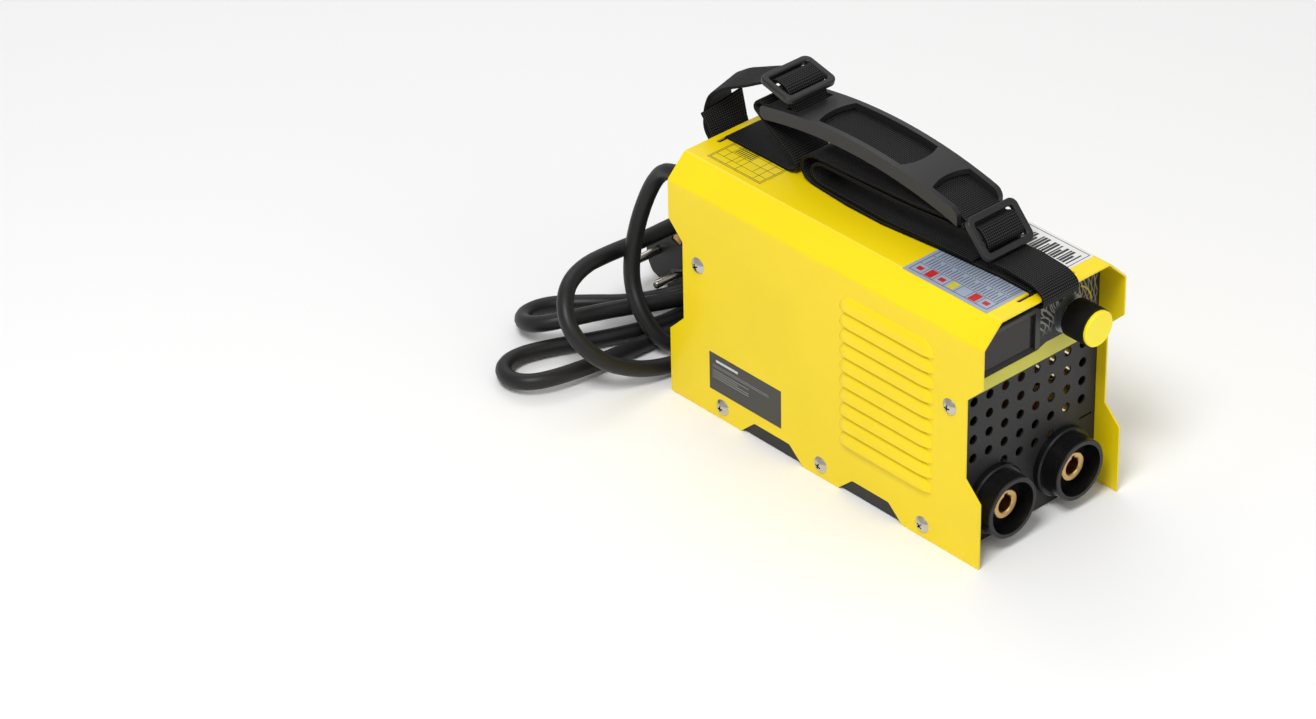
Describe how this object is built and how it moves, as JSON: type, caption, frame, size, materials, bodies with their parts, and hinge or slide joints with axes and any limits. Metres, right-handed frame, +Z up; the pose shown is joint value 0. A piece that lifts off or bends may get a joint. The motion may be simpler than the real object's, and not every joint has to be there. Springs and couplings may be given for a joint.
{
  "type": "stick welding inverter",
  "caption": "Compact stick welding inverter: a folded, louvred sheet-metal case with a display, a current knob, weld sockets, a padded webbing strap and a mains lead.",
  "frame": {"origin": "middle of the case's footprint, on the surface that it stands on", "axes": "+Z up; the front panel with the sockets faces -Y, and +X is to the right of someone who looks at that panel from the front"},
  "size_m": [0.2816, 0.3377, 0.1885],
  "materials": {
    "yellow_powder_coat": "satin powder coat",
    "charcoal_powder_coat": "matte fine-textured powder coat",
    "nickel_screw": "nickel plate",
    "black_label": "printed film",
    "grey_blue_label": "printed film",
    "white_label": "printed film",
    "yellow_label": "printed film",
    "dark_overlay": "printed film",
    "black_plastic": "fine-grained moulding",
    "display_lens": "dark tinted",
    "yellow_plastic": "moulded",
    "red_plastic": "moulded",
    "brass": "turned",
    "copper": "bare copper",
    "zinc_steel": "zinc plate",
    "green_board": "solder mask on glass fibre",
    "aluminium": "extruded",
    "capacitor_sleeve": "shrink sleeve",
    "ferrite": "sintered",
    "winding_tape": "polyester tape",
    "grey_soft_plastic": "satin moulding",
    "black_webbing": "woven polypropylene",
    "black_rubber": "matte",
    "nickel_pin": "nickel plate",
    "clip_brass": "sprung strip"
  },
  "bodies": {
    "root": {"back_label": "yellow_label", "board_screws": "nickel_screw", "board_standoffs": "brass", "bridge_rectifier": "black_plastic", "bus_capacitors": "capacitor_sleeve", "busbars": "copper", "cable_gland": "black_plastic", "cable_tie": "black_plastic", "case_cover": "yellow_powder_coat", "chassis": "charcoal_powder_coat", "choke_core": "ferrite", "choke_winding": "copper", "control_board": "green_board", "cover_screws": "nickel_screw", "dial_plate": "nickel_screw", "display_bezel": "black_plastic", "display_module": "black_plastic", "display_window": "display_lens", "earth_nuts": "nickel_screw", "earth_stud": "brass", "fan_frame": "black_plastic", "fan_guard": "zinc_steel", "fan_screws": "nickel_screw", "front_left_label": "grey_blue_label", "front_right_label": "white_label", "gland_nut": "black_plastic", "heatsink_left": "aluminium", "heatsink_right": "aluminium", "main_board": "green_board", "mains_cord": "black_rubber", "output_diodes": "black_plastic", "overlay_field": "dark_overlay", "overlay_stripe": "yellow_label", "plug_body": "black_rubber", "plug_earth_clips": "clip_brass", "plug_pins": "nickel_pin", "potentiometer_body": "black_plastic", "potentiometer_nut": "nickel_screw", "power_transistors": "black_plastic", "side_label": "black_label", "socket_collar_negative": "black_plastic", "socket_collar_positive": "black_plastic", "socket_contact_negative": "brass", "socket_contact_positive": "brass", "socket_nuts": "zinc_steel", "start_relay": "black_plastic", "strain_relief": "black_rubber", "strap_buckle_back": "black_plastic", "strap_buckle_front": "black_plastic", "strap_pad": "grey_soft_plastic", "strap_webbing": "black_webbing", "switch_housing": "black_plastic", "transformer_core": "ferrite", "transformer_feet": "black_plastic", "transformer_winding": "winding_tape"},
    "knob": {"knob_body": "black_plastic", "knob_cap": "yellow_plastic", "potentiometer_shaft": "nickel_screw"},
    "fan_rotor": {"fan_rotor": "black_plastic"},
    "rocker": {"switch_rocker": "red_plastic"}
  },
  "joints": [
    {"name": "knob_turn", "type": "hinge", "parent": "root", "child": "knob", "pos_m": [0.0262, -0.108, 0.1096], "axis": [0, -1, 0], "range_deg": [-150, 150]},
    {"name": "fan_spin", "type": "hinge", "parent": "root", "child": "fan_rotor", "pos_m": [0, 0.082, 0.051], "axis": [0, 1, 0], "continuous": true},
    {"name": "rocker_tip", "type": "hinge", "parent": "root", "child": "rocker", "pos_m": [0.024, 0.093, 0.11], "axis": [1, 0, 0], "range_deg": [0, 20]}
  ]
}
